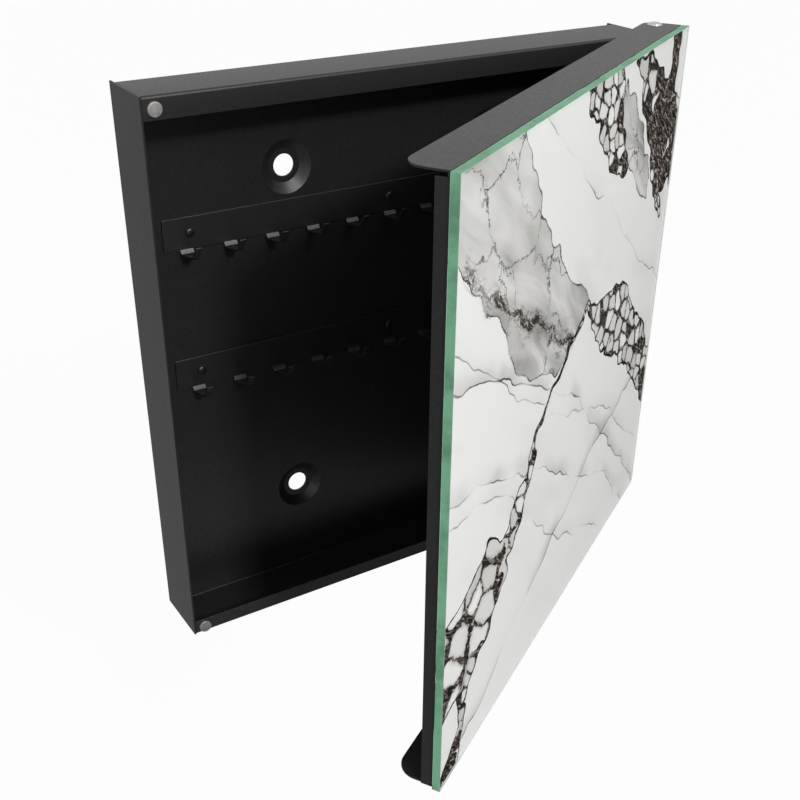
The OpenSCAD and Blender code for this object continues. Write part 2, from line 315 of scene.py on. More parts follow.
def copies_in_a_row(mesh, count, pitch, first, material):
    """A plain mesh of copies of a mesh, placed along X from a first place."""
    tree = row_tree()
    obj = new_object("row_helper", mesh)
    row = obj.modifiers.new("row", "NODES")
    row.node_group = tree
    wanted = {"Count": count, "Pitch": pitch, "First": first, "Finish": material}
    for socket in tree.interface.items_tree:
        if socket.name in wanted and socket.in_out == "INPUT":
            row[socket.identifier] = wanted[socket.name]
    return plain_mesh(obj)


# Kinds of grained finish: the grain's noise detail, the shade and the change of roughness at its low and high
# places, the strength of its relief and its depth in millimetres, and constants of the shader

# Black powder coat on steel: satin, with an orange-peel grain that scatters highlights into fine specks, and
# a slight drift of the shade. Orange peel is about 0.4 mm across; it is drawn coarser so that it shows.
POWDER_COAT = {"detail": 2.0, "shade": (0.55, 1.45), "drift": (0.93, 1.07), "gloss": (0.04, -0.03),
               "relief": (0.7, 0.025), "shader": {}}
# The rails' paint is the same with a brighter sheen, which shows on the hooks' bends.
RAIL_PAINT = {**POWDER_COAT, "shader": {"Specular IOR Level": 0.8}}
# Bright plated steel: metallic, with a faint clouding and fine scratches in its gloss
PLATED_METAL = {"detail": 4.0, "shade": (0.85, 1.08), "gloss": (-0.08, 0.1),
                "relief": (0.15, 0.03), "shader": {"Metallic": 1.0}}
# Moulded or foamed plastic: matt and slightly waxy, with a fine even pitting
MOULDED_PLASTIC = {"detail": 3.0, "shade": (0.88, 1.05), "relief": (0.2, 0.05), "shader": {}}
# Most of a noise texture's values lie in this range.
NOISE = (0.3, 0.7)
DRIFT_MM = 35


def grained_finish(name, kind, colour, grain_mm, rough):
    """A material of one kind, whose shade, gloss and relief follow a grain given in millimetres."""
    material, tree = new_material(name)
    place = add(tree, "ShaderNodeTexCoord")["Object"]
    grain = add(tree, "ShaderNodeTexNoise", {
        "Vector": place, "Scale": 1 / (grain_mm * MM), "Detail": kind["detail"]})["Fac"]
    low, high = kind["shade"]
    level = add(tree, RANGE, (grain, *NOISE, low, high))[0]
    if "drift" in kind:
        patches = add(tree, "ShaderNodeTexNoise", {
            "Vector": place, "Scale": 1 / (DRIFT_MM * MM), "Detail": 3.0})["Fac"]
        low, high = kind["drift"]
        drift = add(tree, RANGE, (patches, *NOISE, low, high))[0]
        level = add(tree, MATH, (level, drift), operation="MULTIPLY")[0]
    tint = add(tree, "ShaderNodeVectorMath", {0: linear(colour)[:3], "Scale": level}, operation="SCALE")[0]
    gloss = rough
    if "gloss" in kind:
        low, high = kind["gloss"]
        gloss = add(tree, RANGE, (grain, *NOISE, rough + low, rough + high))[0]
    strength, depth_mm = kind["relief"]
    relief = add(tree, "ShaderNodeBump", {
        "Height": grain, "Strength": strength, "Distance": depth_mm * MM})[0]
    shader = add(tree, "ShaderNodeBsdfPrincipled", {
        "Base Color": tint, "Roughness": gloss, "Normal": relief, **kind["shader"]})[0]
    add(tree, "ShaderNodeOutputMaterial", (shader,))
    return material


def float_glass():
    """Clear float glass: sharp reflections at its front, and none at its back, where the print is bonded on;
    lamps pass through it to the print."""
    material, tree = new_material("clear_float_glass")
    pane = add(tree, "ShaderNodeBsdfPrincipled", {
        "Base Color": linear("#ffffff"), "Roughness": 0.0, "IOR": 1.5, "Transmission Weight": 1.0})[0]
    clear = add(tree, "ShaderNodeBsdfTransparent", {"Color": linear("#ffffff")})[0]
    path = add(tree, "ShaderNodeLightPath")
    passing = add(tree, "ShaderNodeNewGeometry")["Backfacing"]
    for ray in ("Is Shadow Ray", "Is Diffuse Ray"):
        passing = add(tree, MATH, (passing, path[ray]), operation="MAXIMUM")[0]
    glass = add(tree, "ShaderNodeMixShader", (passing, pane, clear))[0]
    add(tree, "ShaderNodeOutputMaterial", (glass,))
    return material


def ground_glass_edge(colour):
    """Ground glass edge: deep green from the iron in the glass, with darker stretches along it that are
    painted reflections of the print's veins, placed at random, and paler where the eye meets it from inside
    the pane, a pale matt colour painted in place of the print's reflection there; lamps pass through it to
    the print."""
    material, tree = new_material("green_glass_edge")
    place = add(tree, "ShaderNodeTexCoord")["Object"]
    # Darker stretches along the edge: painted reflections of the print's veins, placed at random by a noise.
    painted_vein_reflections = add(tree, "ShaderNodeTexNoise", {
        "Vector": place, "Scale": 1 / (22 * MM), "Detail": 5.0, "Roughness": 0.6})["Fac"]
    level = add(tree, RANGE, (painted_vein_reflections, 0.36, 0.52, 0.65))[0]
    tint = add(tree, "ShaderNodeVectorMath", {0: linear(colour)[:3], "Scale": level}, operation="SCALE")[0]
    outer = add(tree, "ShaderNodeBsdfPrincipled", {
        "Base Color": tint, "Roughness": 0.45, "Specular IOR Level": 0.25})[0]
    # Seen from inside the pane the edge is a pale matt colour, painted in place of the print's reflection
    # there.
    painted_inner_reflection = add(tree, "ShaderNodeBsdfPrincipled", {
        "Base Color": linear("#e2e8e4"), "Roughness": 0.5, "Specular IOR Level": 0.0})[0]
    clear = add(tree, "ShaderNodeBsdfTransparent", {"Color": linear("#dcefe4")})[0]
    inside = add(tree, "ShaderNodeNewGeometry")["Backfacing"]
    shadow = add(tree, "ShaderNodeLightPath")["Is Shadow Ray"]
    edge = outer
    for share, other in ((inside, painted_inner_reflection), (shadow, clear)):
        edge = add(tree, "ShaderNodeMixShader", (share, edge, other))[0]
    add(tree, "ShaderNodeOutputMaterial", (edge,))
    return material


def marble_print(ground, vein):
    """Marble print under glass: a white ground with grey drifts, thin slanting veins, grey slabs with
    dark cracks, and bands of pebble-like cells in near-black brown."""
    material, tree = new_material("printed_marble_film")
    sheet = add(tree, "ShaderNodeAttribute", attribute_name="sheet_mm")["Vector"]
    fields = {}
    for name in ("marble_forms", "marble_kinds", "veins_a", "veins_b"):
        field = add(tree, "ShaderNodeAttribute", attribute_name=name)["Vector"]
        fields[name] = list(add(tree, "ShaderNodeSeparateXYZ", (field,)))
    band_mm, slab_mm, crack_mm = fields["marble_forms"]
    cell_mm, dense, smoke = fields["marble_kinds"]

    # Wandering in millimetres: gentle bends, and a fine fray of the edges
    bend = add(tree, "ShaderNodeTexNoise", {"Vector": sheet, "Scale": 0.05, "Detail": 2.0})
    fray = add(tree, "ShaderNodeTexNoise", {
        "Vector": sheet, "Scale": 0.55, "Detail": 4.0, "Roughness": 0.65})
    bend_mm = add(tree, RANGE, (bend["Fac"], 0.0, 1.0, -3.0, 3.0))[0]
    fray_mm = add(tree, RANGE, (fray["Fac"], 0.0, 1.0, -1.5, 1.5))[0]
    vein_mm = add(tree, MATH, (fray_mm, 0.4, bend_mm), operation="MULTIPLY_ADD")[0]

    # The stone's grain runs down to the right, so drifts, streaks and grit are drawn out along it.
    laid = add(tree, "ShaderNodeMapping", {
        "Vector": sheet, "Rotation": (0, 0, math.radians(33)), "Scale": (4.0, 1.0, 1.0)},
        vector_type="TEXTURE")[0]
    drift, streaks, speck = [
        add(tree, "ShaderNodeTexNoise", {
            "Vector": laid, "Scale": scale, "Detail": detail, "Roughness": rough, "Distortion": warp})["Fac"]
        for scale, detail, rough, warp in (
            (0.03, 4.0, 0.5, 0.5), (0.06, 4.0, 0.5, 0.6), (0.55, 6.0, 0.8, 0.8))]
    pale = add(tree, RANGE, (drift, 0.5, 0.75, 0.0, 0.35), interpolation_type="SMOOTHSTEP")[0]

    # Thin veins: each channel holds the distance from one vein's line. A vein fades in and out along its
    # length, and is cloudy below.
    veins = []
    for name, line, wide, cloud in (("veins_a", "#82807d", 0.22, 0.14), ("veins_b", "#2b2724", 0.26, 0.5)):
        for i, gap in enumerate(fields[name]):
            off = add(tree, MATH, (gap, vein_mm), operation="ADD")[0]
            fade = add(tree, "ShaderNodeTexNoise", {
                "Vector": sheet, "W": 3.0 * i + wide, "Scale": 0.025, "Detail": 1.0},
                noise_dimensions="4D")["Fac"]
            strength = add(tree, RANGE, (fade, 0.42, 0.62, 0.08))[0]
            halo = add(tree, RANGE, (off, -0.6, 0.2, 0.0, cloud))[0]
            far = add(tree, RANGE, (off, 0.0, 12.0, 1.0, 0.0), interpolation_type="SMOOTHSTEP")[0]
            for share in (far, strength):
                halo = add(tree, MATH, (halo, share), operation="MULTIPLY")[0]
            near = add(tree, MATH, (off,), operation="ABSOLUTE")[0]
            mark = add(tree, RANGE, (near, wide * 0.5, wide * 2.4, strength, 0.0),
                       interpolation_type="SMOOTHSTEP")[0]
            veins += [(halo, "#a9a9a4"), (mark, line)]

    # Grey slabs: soft streaks along the grain, a broken net of hair cracks, and a thin dark outline that
    # fades where the cracks do
    depth = add(tree, MATH, (slab_mm, fray_mm), operation="ADD")[0]
    in_slab = add(tree, RANGE, (depth, -0.4, 0.4))[0]
    greys = add(tree, RANGE, (streaks, 0.35, 0.7))[0]
    smoke = add(tree, MATH, (smoke, greys), operation="MULTIPLY")[0]
    net = sheet
    for wave, reach_mm in ((bend, 34), (fray, 9)):
        net = add(tree, "ShaderNodeVectorMath", (
            wave["Color"], (reach_mm, reach_mm, 0), net), operation="MULTIPLY_ADD")[0]
    net = add(tree, "ShaderNodeMapping", {
        "Vector": net, "Rotation": (0, 0, math.radians(38)), "Scale": (62, 27, 1)}, vector_type="TEXTURE")[0]
    net = add(tree, "ShaderNodeTexVoronoi", {"Vector": net, "Scale": 1.0},
              voronoi_dimensions="2D", feature="DISTANCE_TO_EDGE")["Distance"]
    cracks = add(tree, RANGE, (net, 0.007, 0.018, 1.0, 0.0))[0]
    broken = add(tree, RANGE, (bend["Fac"], 0.46, 0.64, 0.95, 0.05))[0]
    cracks = add(tree, MATH, (cracks, broken), operation="MULTIPLY")[0]
    rim = add(tree, MATH, (depth,), operation="ABSOLUTE")[0]
    faint = add(tree, RANGE, (broken, 0.0, 1.0, 0.3))[0]
    slab_rim = add(tree, RANGE, (rim, 0.3, 0.6, faint, 0.0))[0]

    # Grit: near-black and brown flecks drawn out along the grain, with tan and white ones between
    brown = add(tree, RANGE, (speck, 0.48, 0.54))[0]
    tan = add(tree, RANGE, (speck, 0.56, 0.61))[0]

    # Long dark crack through the slab, smoky at its sides
    off = add(tree, MATH, (fray_mm, 2.2, crack_mm), operation="MULTIPLY_ADD")[0]
    smoky = add(tree, RANGE, (off, -6.0, 0.5, 0.0, 0.75), interpolation_type="SMOOTHSTEP")[0]
    smoky = add(tree, MATH, (smoky, brown), operation="MULTIPLY")[0]
    crack = add(tree, RANGE, (off, -0.3, 0.4, 0.0, 0.95))[0]

    # Bands of pebbles: cells drawn out along the grain, rounded at their corners, some filled with grit
    bent = add(tree, "ShaderNodeVectorMath", (bend["Color"], (12, 12, 0), sheet), operation="MULTIPLY_ADD")[0]
    bent = add(tree, "ShaderNodeMapping", {
        "Vector": bent, "Rotation": (0, 0, math.radians(30)), "Scale": (1.25, 0.9, 1.0)},
        vector_type="TEXTURE")[0]
    per_cell = add(tree, MATH, (1.0, cell_mm), operation="DIVIDE")[0]
    scaled = add(tree, "ShaderNodeVectorMath", {0: bent, "Scale": per_cell}, operation="SCALE")[0]
    cells, walls = [
        add(tree, "ShaderNodeTexVoronoi", {"Vector": scaled, "Scale": 1.0, "Randomness": 0.9},
            voronoi_dimensions="2D", feature=feature) for feature in ("F1", "DISTANCE_TO_EDGE")]
    # Walls are measured in tenths of a cell, so that large cells have stout walls.
    corner = add(tree, RANGE, (cells["Distance"], 0.42, 0.85, 0.0, -2.4))[0]
    wall = add(tree, MATH, (walls["Distance"], 10.0, corner), operation="MULTIPLY_ADD")[0]
    wall = add(tree, MATH, (wall, fray_mm), operation="ADD")[0]
    pebble = add(tree, RANGE, (wall, 0.36, 0.6))[0]
    chance = add(tree, "ShaderNodeSeparateColor", (cells["Color"],))
    whole = add(tree, MATH, (chance[0], dense), operation="GREATER_THAN")[0]
    pebble = add(tree, MATH, (pebble, whole), operation="MULTIPLY")[0]
    shade = add(tree, RANGE, (wall, 0.4, 2.2, 0.4, 0.0), interpolation_type="SMOOTHSTEP")[0]
    depth = add(tree, MATH, (fray_mm, 0.8, band_mm), operation="MULTIPLY_ADD")[0]
    in_band = add(tree, RANGE, (depth, -0.3, 0.3))[0]
    rim = add(tree, MATH, (depth,), operation="ABSOLUTE")[0]
    band_rim = add(tree, RANGE, (rim, 0.5, 0.85, 1.0, 0.0))[0]

    # Each colour is a base with layers painted over it in turn, by hex or as the name of a colour above it.
    painted = {}
    for name, base, *layers in (
            ("grit", vein, (brown, "#5d524a"), (tan, "#d6d1cb")),
            ("slab", "#dfdedb", (greys, "#bbbab6"), (smoke, "#6f6d6a"), (cracks, "#2e2b29")),
            ("pebbles", "#f4f4f2", (chance[1], "#d0cfcb"), (shade, "#a29d98")),
            ("band", "grit", (pebble, "pebbles")),
            ("stone", ground, (pale, "#d3d3d0"), *veins, (in_slab, "slab"), (slab_rim, "#2e2b29"),
             (smoky, "#5f5c59"), (crack, "grit"), (in_band, "band"), (band_rim, vein))):
        colour = painted[base] if base in painted else linear(base)
        for mask, over in layers:
            colour = add(tree, "ShaderNodeMix", {
                0: mask, 6: colour, 7: painted[over] if over in painted else linear(over)},
                data_type="RGBA")[2]
        painted[name] = colour

    rough = add(tree, RANGE, (fray["Fac"], 0.0, 1.0, 0.42, 0.55))[0]
    shader = add(tree, "ShaderNodeBsdfPrincipled", {
        "Base Color": painted["stone"], "Roughness": rough, "Specular IOR Level": 0.05})[0]
    add(tree, "ShaderNodeOutputMaterial", (shader,))
    return material


# Marble layout, in millimetres from the upper left corner of the sheet

# Each band: a line of places across and down with its half width there, and the size of its cells
PEBBLE_BANDS = (
    # Upper right: pebbles, then grit along the right edge
    (((148, -10, 4), (164, 4, 11), (188, 20, 18), (204, 38, 15), (216, 54, 6)), 9.0),
    (((226, 0, 4), (250, 20, 11), (276, 38, 20), (305, 62, 28)), 13.0),
    (((302, -8, 6), (295, 10, 6), (291, 32, 12)), 9.0),
    (((272, 66, 5), (290, 88, 5), (304, 106, 3)), 8.0),
    # Middle right
    (((168, 118, 1.2), (185, 120, 5), (212, 135, 15), (250, 156, 17), (288, 186, 17), (335, 235, 13)), 11.0),
    # Link from the slab down to the lower left
    (((175, 115, 2), (150, 128, 1.4), (128, 144, 1.1), (112, 160, 1.1), (103, 170, 4), (95, 182, 6),
      (80, 200, 11)), 11.0),
    # Lower left
    (((80, 200, 8), (55, 212, 23), (28, 226, 27), (-8, 232, 26)), 20.0),
    (((35, 245, 12), (24, 264, 3), (24, 280, 3), (12, 310, 15)), 9.0),
)
GREY_SLABS = (
    ((-12, 26), (-12, -12), (60, -12), (85, 26), (112, 60), (150, 95), (174, 113), (168, 120), (132, 134),
     (104, 126), (74, 106), (46, 76), (20, 46)),
    ((206, 8), (222, 16), (244, 40), (262, 66), (268, 84), (252, 78), (226, 58), (208, 30)),
)
DARK_CRACK = ((14, 38, 0.2), (34, 56, 0.6), (48, 66, 2.4), (60, 74, 0.8), (84, 94, 2.6), (100, 99, 1.8),
              (124, 112, 0.8), (146, 124, 2.8), (156, 124, 2.0))
# Places where more of the cells are filled with grit: across, down, reach and greatest share; elsewhere a few
GRIT_SPOTS = ((280, 44, 52, 1.0), (300, 6, 30, 1.0), (103, 170, 9, 1.0), (12, 300, 22, 0.9),
              (318, 228, 26, 0.8), (175, 118, 14, 0.6), (48, 246, 16, 0.8), (64, 222, 12, 0.7))
GRIT_SHARE = 0.12
# Places where the slabs are smoky: across, down and reach
SMOKE_SPOTS = ((150, 118, 40), (96, 98, 34), (48, 66, 26), (250, 45, 40))
SMOKE_SHARE = 0.9
# Thin veins as heights down the sheet at even steps of 40 mm across it
VEIN_STEP = 40
VEINS_A = ((-60, -34, -8, 22, 48, 70, 100, 128, 152), (70, 96, 124, 150, 172, 186, 206, 240, 268),
           (150, 160, 178, 220, 252, 268, 290, 310, 330))
VEINS_B = ((88, 100, 116, 140, 160, 196, 226, 262, 300), (140, 150, 168, 182, 208, 232, 250, 290, 318),
           (300, 288, 270, 252, 238, 222, 214, 206, 200))
# A vein's height above a point as a distance from it, for the veins' usual slope
VEIN_SLOPE = 0.85
# Lengths and sizes of the waves that lines wander in, and the veins' share of it
WAVES = ((64, 1.5), (27, 0.9), (13, 0.55))
VEIN_WANDER = 0.45
FAR = 1e9


def wander(points):
    """Points moved by a smooth wandering of up to a few millimetres, so that drawn lines bend as in stone."""
    moved = points.copy()
    for i in range(24):
        length, size = WAVES[i % 3]
        turn = 2.4 * i
        along = points @ np.array((math.cos(turn), math.sin(turn)))
        moved[:, i // 3 % 2] += size * np.sin(2 * math.pi * along / length + 1.7 * i * i)
    return moved


def leg_gap(points, ax, ay, bx, by):
    """The share along a straight leg of its place nearest to each point, and the gap between them."""
    start, leg = np.array((ax, ay), float), np.array((bx - ax, by - ay), float)
    share = np.clip((points - start) @ leg / (leg @ leg), 0, 1)
    return share, np.linalg.norm(points - start - share[:, None] * leg, axis=1)


def band_depth(points, line):
    """How far inside a band of changing half width each point lies, negative outside."""
    best = np.full(len(points), -FAR)
    for (ax, ay, aw), (bx, by, bw) in zip(line, line[1:]):
        share, gap = leg_gap(points, ax, ay, bx, by)
        best = np.maximum(best, aw + (bw - aw) * share - gap)
    return best


def slab_depth(points, corners):
    """Distance of each point from a polygon's edge, positive inside."""
    nearest = np.full(len(points), FAR)
    inside = np.zeros(len(points), bool)
    for (ax, ay), (bx, by) in zip(corners, corners[1:] + corners[:1]):
        nearest = np.minimum(nearest, leg_gap(points, ax, ay, bx, by)[1])
        if ay != by:
            crosses = (ay > points[:, 1]) != (by > points[:, 1])
            inside ^= crosses & (points[:, 0] < ax + (points[:, 1] - ay) * (bx - ax) / (by - ay))
    return np.where(inside, nearest, -nearest)


def marble_fields(sheet):
    """The layout's fields at points of the sheet, in millimetres, for the marble material."""
    points = wander(sheet)
    band = np.full(len(points), -FAR)
    cell = np.full(len(points), PEBBLE_BANDS[0][1])
    for line, size in PEBBLE_BANDS:
        depth = band_depth(points, line)
        cell = np.where(depth > band, size, cell)
        band = np.maximum(band, depth)
    slabs = [slab_depth(points, corners) for corners in GREY_SLABS]
    # The second slab lies on the upper band, so the band stands back from it.
    band = np.where(slabs[1] > -1.0, -1.0 - slabs[1], band)
    crack = band_depth(points, DARK_CRACK)
    dense = np.full(len(points), GRIT_SHARE)
    for across, down, reach, most in GRIT_SPOTS:
        gap = np.hypot(points[:, 0] - across, points[:, 1] - down)
        dense = np.maximum(dense, most * np.clip(1.25 - gap / reach, 0, 1))
    smoke = np.zeros(len(points))
    for across, down, reach in SMOKE_SPOTS:
        gap = np.hypot(points[:, 0] - across, points[:, 1] - down)
        smoke = np.maximum(smoke, SMOKE_SHARE * np.clip(1 - gap / reach, 0, 1))
    # Thin veins run straighter than the bands.
    calm = sheet + VEIN_WANDER * (points - sheet)
    veins = []
    for group in (VEINS_A, VEINS_B):
        steps = VEIN_STEP * np.arange(len(group[0]))
        heights = [np.interp(calm[:, 0], steps, line) - calm[:, 1] for line in group]
        veins.append(VEIN_SLOPE * np.stack(heights, axis=1))
    return {
        "sheet_mm": np.column_stack([sheet, np.zeros(len(sheet))]),
        "marble_forms": np.stack([band, np.max(slabs, axis=0), crack], axis=1),
        "marble_kinds": np.stack([cell, dense, smoke], axis=1),
        "veins_a": veins[0],
        "veins_b": veins[1],
    }


# Pieces


class KEYBOX_OT_casing(bpy.types.Operator):
    """Makes the folded back, the two side plates and their powder coat"""
    bl_idname = "keybox.casing"
    bl_label = "Casing"

    def execute(self, context):
        box = context.scene.key_box
        coat = grained_finish("satin_black_powder", POWDER_COAT, box.colours.coat, 1.2, 0.37)
        for node in ("back_channel", "left_side_plate", "right_side_plate"):
            mesh = round_edges(cad_copy(node), box.sizes.edge_round)
            finish_piece(node + "_coated", mesh, "casing", "black_powder_coat", [coat], node)
        return {"FINISHED"}


class KEYBOX_OT_hook_rails(bpy.types.Operator):
    """Makes the two rails, each a riveted strip with a row of bent hooks"""
    bl_idname = "keybox.hook_rails"
    bl_label = "Hook rails"
    sheet = 1.0 * MM
    strip_height = 16.5 * MM
    # Depth of a hook's root in the strip, radius of its bends, and how far its tip narrows at the end
    root, bend, taper = 0.6 * MM, 0.8 * MM, 0.3 * MM

    def hook(self, sizes, low, front):
        """One hook about X = 0, swept along its bent path from the rail's lower edge to its tip."""
        trough, half_sheet = front - sizes.hook_trough, self.sheet / 2
        corners = [Vector(place) for place in (
            (front + half_sheet, low + self.root), (front + half_sheet, low), (trough, low - sizes.hook_drop),
            (trough - sizes.hook_floor, low - sizes.hook_drop + sizes.hook_climb),
            (front - sizes.hook_reach, low + sizes.hook_rise))]
        path = corners[:1]
        for before, turn, after in zip(corners, corners[1:], corners[2:]):
            soft = min(self.bend, (turn - before).length / 2)
            enter = turn + (before - turn).normalized() * soft
            leave = turn + (after - turn).normalized() * soft
            path += [enter * (1 - t) ** 2 + turn * 2 * t * (1 - t) + leave * t ** 2
                     for t in np.linspace(0, 1, 7)]
        # The tip's end is rounded over its whole thickness.
        body = len(path)
        run = (corners[-1] - path[-1]).normalized()
        turns = [math.radians(turn) for turn in (0, 35, 60, 78)]
        path += [corners[-1] - run * half_sheet * (1 - math.sin(turn)) for turn in turns]
        made = bmesh.new()
        rings = []
        for i, place in enumerate(path):
            run = (path[min(i + 1, len(path) - 1)] - path[max(i - 1, 0)]).normalized()
            normal = Vector((-run.y, run.x)) * half_sheet
            share = min(max((trough - place.x) / sizes.hook_floor, 0.0), 1.0)
            half = (sizes.hook_width + (sizes.hook_tip_width - sizes.hook_width) * share) / 2
            if i >= body:
                normal = normal * math.cos(turns[i - body])
                half -= self.taper * (1 - math.cos(turns[i - body]))
            rings.append([made.verts.new((x, place.x + side * normal.x, place.y + side * normal.y))
                          for x, side in ((-half, -1), (half, -1), (half, 1), (-half, 1))])
        for low_ring, high_ring in zip(rings, rings[1:]):
            for i in range(4):
                j = (i + 1) % 4
                made.faces.new((low_ring[i], low_ring[j], high_ring[j], high_ring[i]))
        made.faces.new(rings[0][::-1])
        made.faces.new(rings[-1])
        bmesh.ops.recalc_face_normals(made, faces=made.faces)
        return round_edges(new_mesh("hook", made), sizes.edge_round * 0.8, angle=60)

    def execute(self, context):
        box = context.scene.key_box
        sizes = box.sizes
        coat = grained_finish("satin_black_rail_paint", RAIL_PAINT, box.colours.rail, 1.0, 0.4)
        for node in ("upper_hook_rail", "lower_hook_rail"):
            low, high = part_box(node)
            front = high.y - self.sheet
            strip_low = high.z - self.strip_height
            strip = box_mesh(node + "_strip", [
                (x, y, z) for z in (strip_low, high.z)
                for x, y in ((low.x, front), (high.x, front), (high.x, high.y), (low.x, high.y))])
            pitch = (high.x - low.x - 2 * sizes.hook_in) / (sizes.hook_count - 1)
            hooks = copies_in_a_row(self.hook(sizes, strip_low, front), sizes.hook_count, pitch,
                                    (low.x + sizes.hook_in, 0, 0), coat)
            whole = bmesh.new()
            whole.from_mesh(round_edges(strip, sizes.edge_round))
            whole.from_mesh(hooks)
            mesh = new_mesh(node + "_bent", whole)
            finish_piece(node + "_bent", mesh, "casing", "black_rail_coat", [coat], node)
        return {"FINISHED"}


class KEYBOX_OT_rail_rivets(bpy.types.Operator):
    """Makes the domed rivets of both rails as rows"""
    bl_idname = "keybox.rail_rivets"
    bl_label = "Rail rivets"
    # Heights of the head and the tail, the shank's radius, and the soft edges of the tail
    dome, upset, shank = 1.0 * MM, 0.9 * MM, 1.5 * MM
    inner_soft, outer_soft = 0.25 * MM, 0.3 * MM
    # Share of the head's height that is its straight rim
    rim = 0.08

    def execute(self, context):
        box = context.scene.key_box
        count, head = box.sizes.rivet_count, box.sizes.rivet_head / 2
        coat = grained_finish("satin_black_rivet_paint", POWDER_COAT, box.colours.rail, 0.5, 0.38)
        for node in ("upper_rail_rivets", "lower_rail_rivets"):
            low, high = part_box(node)
            front = low.y + self.dome
            grip, tail = front - (high.y - self.upset), front - high.y
            profile = [(0, self.dome)]
            for i in range(1, 9):
                turn = math.radians(90 - 11.0 * i)
                rise = self.rim + (1 - self.rim) * math.sin(turn)
                profile.append((head * math.cos(turn), self.dome * rise))
            profile += [(head, 0.0), (self.shank, 0.0), (self.shank, grip), (head - self.inner_soft, grip),
                        (head, grip - self.inner_soft), (head, tail + self.outer_soft),
                        (head - self.outer_soft, tail), (0, tail)]
            rivet = turned(node + "_one", profile, (0, front, (low.z + high.z) / 2), (0, -1, 0), 40)
            pitch = (high.x - low.x - 2 * head) / (count - 1)
            mesh = copies_in_a_row(rivet, count, pitch, (low.x + head, 0, 0), coat)
            mesh.shade_smooth()
            mesh.set_sharp_from_angle(angle=CREASE)
            finish_piece(node + "_domed", mesh, "casing", "black_rivet_coat", [coat], node)
        return {"FINISHED"}


class KEYBOX_OT_magnets(bpy.types.Operator):
    """Makes the two nickel-plated magnet discs"""
    bl_idname = "keybox.magnets"
    bl_label = "Magnets"

    def execute(self, context):
        nickel = grained_finish("nickel_plate", PLATED_METAL, "#9f9c99", 2.0, 0.6)
        for node in ("upper_magnet", "lower_magnet"):
            low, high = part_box(node)
            middle = (low + high) / 2
            r, t = (high.x - low.x) / 2, high.y - low.y
            soft = 0.35 * MM
            profile = [(0, t), (r - 2 * soft, t), (r - soft, t - 0.08 * soft),
                       (r - 0.3 * soft, t - 0.3 * soft), (r, t - soft), (r, 0), (0, 0)]
            mesh = turned(node + "_disc", profile, (middle.x, high.y, middle.z), (0, -1, 0))
            finish_piece(node + "_disc", mesh, "casing", "magnet_nickel", [nickel], node)
        return {"FINISHED"}


class KEYBOX_OT_hinge(bpy.types.Operator):
    """Makes the hinge's bushes, riveted pins and push-on retainers"""
    bl_idname = "keybox.hinge"
    bl_label = "Hinge"

    def bush(self, span, wide):
        flange, bore, sleeve, soft = 0.8 * MM, 2.05 * MM, 3.05 * MM, 0.15 * MM
        return [(bore, 0), (sleeve - soft, 0), (sleeve, soft), (sleeve, span - flange), (wide, span - flange),
                (wide, span - soft), (wide - soft, span), (bore + soft, span), (bore, span - soft)]

    def pin(self, span, wide):
        dome, shank, soft, rim = 1.6 * MM, 2.0 * MM, 0.3 * MM, 0.12
        under = span - dome
        profile = [(0, 0), (shank - soft, 0), (shank, soft), (shank, under), (wide, under)]
        for i in range(9):
            turn = math.radians(10.0 * i)
            profile.append((wide * math.cos(turn), under + dome * (rim + (1 - rim) * math.sin(turn))))
        return profile + [(0, span)]

    def retainer(self, span, wide):
        bore, collar, brim, dish, soft = 2.02 * MM, 0.6 * MM, 0.9 * MM, 0.3 * MM, 0.1 * MM
        return [(bore, 0), (bore + collar, 0), (wide - brim, dish), (wide, dish), (wide, span - soft),
                (wide - soft, span), (bore, span)]

    def execute(self, context):
        nylon = grained_finish("natural_nylon", MOULDED_PLASTIC, "#e4e2da", 0.8, 0.45)
        zinc = grained_finish("bright_zinc_plate", PLATED_METAL, "#dcdcda", 0.9, 0.26)
        for end, up in (("upper", 1), ("lower", -1)):
            for part, shape, form, body, slot, finish in (
                    ("hinge_bush", self.bush, "turned", "casing", "bush_nylon", nylon),
                    ("hinge_pin", self.pin, "domed", "door", "pin_zinc", zinc),
                    ("pin_retainer", self.retainer, "ring", "door", "pin_zinc", zinc)):
                node = f"{end}_{part}"
                low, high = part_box(node)
                start = low.z if up > 0 else high.z
                profile = shape(high.z - low.z, (high.x - low.x) / 2)
                mesh = turned(f"{node}_{form}", profile, (HINGE.x, HINGE.y, start), (0, 0, up))
                finish_piece(f"{node}_{form}", mesh, body, slot, [finish], node)
        return {"FINISHED"}


class KEYBOX_OT_door_tray(bpy.types.Operator):
    """Makes the door's folded sheet tray"""
    bl_idname = "keybox.door_tray"
    bl_label = "Door tray"

    def execute(self, context):
        box = context.scene.key_box
        coat = bpy.data.materials["satin_black_powder"]
        mesh = round_edges(cad_copy("door_tray"), box.sizes.edge_round)
        finish_piece("door_tray_coated", mesh, "door", "black_powder_coat", [coat], "door_tray")
        return {"FINISHED"}


class KEYBOX_OT_glass(bpy.types.Operator):
    """Makes the glass pane with its ground green edges"""
    bl_idname = "keybox.glass"
    bl_label = "Glass"

    def execute(self, context):
        box = context.scene.key_box
        low, high = door_span("glass_panel")
        mesh = box_mesh("glass_pane", [
            door_point(u, n, z) for z in (low[2], high[2])
            for u, n in ((low[0], low[1]), (high[0], low[1]), (high[0], high[1]), (low[0], high[1]))])
        mesh = round_edges(mesh, box.sizes.glass_arris, segments=3)
        finishes = [float_glass(), ground_glass_edge(box.colours.glass_edge)]
        piece = finish_piece("glass_pane", mesh, "door", "clear_glass", finishes, "glass_panel")
        for face in piece.data.polygons:
            face.material_index = 0 if abs(face.normal.dot(DOOR_FRONT)) > 0.999 else 1
        return {"FINISHED"}


